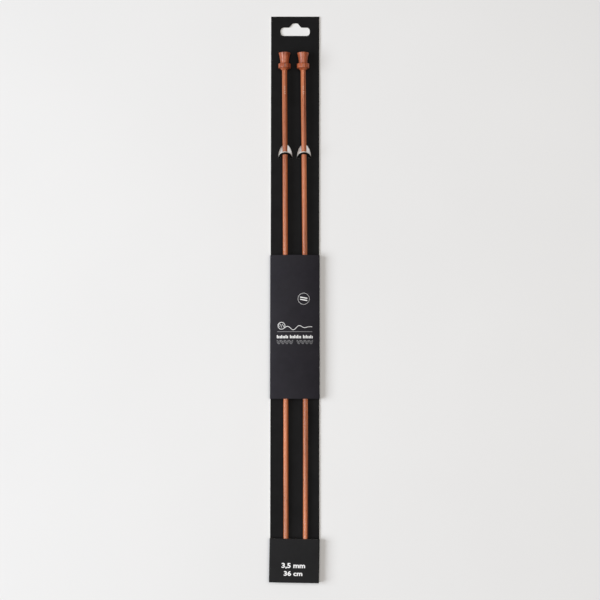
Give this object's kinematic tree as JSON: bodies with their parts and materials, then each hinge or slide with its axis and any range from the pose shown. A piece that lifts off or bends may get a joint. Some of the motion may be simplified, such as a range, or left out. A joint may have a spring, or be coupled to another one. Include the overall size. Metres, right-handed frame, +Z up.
{
  "type": "straight knitting needles in retail pack",
  "caption": "Long slim wooden knitting needles with flared turned knobs, held on a narrow hanging card by lifted straps, a folded sleeve and a slip-on end cap.",
  "frame": {"origin": "on the surface that the pack lies on, under the middle of the card's width and of the pack's length", "axes": "+Z up out of the printed face, +Y along the pack towards the hanging slot, +X to the right of someone reading the pack"},
  "size_m": [0.0351, 0.3965, 0.0104],
  "materials": {
    "card_board": "matte black printed board with a white core",
    "sleeve_board": "matte black printed board, soft sheen",
    "cap_board": "matte black printed board, soft sheen",
    "rosewood_shaft": "smooth oiled rosewood, long straight grain",
    "rosewood_knob": "polished turned rosewood"
  },
  "bodies": {
    "card": {"backing_card": "card_board", "left_holding_strap": "card_board", "right_holding_strap": "card_board"},
    "sleeve": {"sleeve_band": "sleeve_board"},
    "cap": {"end_cap": "cap_board"},
    "left_needle": {"left_needle_shaft": "rosewood_shaft", "left_needle_knob": "rosewood_knob"},
    "right_needle": {"right_needle_shaft": "rosewood_shaft", "right_needle_knob": "rosewood_knob"}
  },
  "joints": [
    {"name": "sleeve_slide", "type": "slide", "parent": "card", "child": "sleeve", "axis": [0, 1, 0], "range_m": [-0.093, 0.065]},
    {"name": "cap_pull", "type": "slide", "parent": "card", "child": "cap", "axis": [0, -1, 0], "range_m": [0, 0.035]},
    {"name": "left_needle_draw", "type": "slide", "parent": "card", "child": "left_needle", "axis": [-0.0038, 1, 0.0077], "range_m": [0, 0.385]},
    {"name": "right_needle_draw", "type": "slide", "parent": "card", "child": "right_needle", "axis": [-0.0052, 1, 0.0077], "range_m": [0, 0.385]}
  ]
}
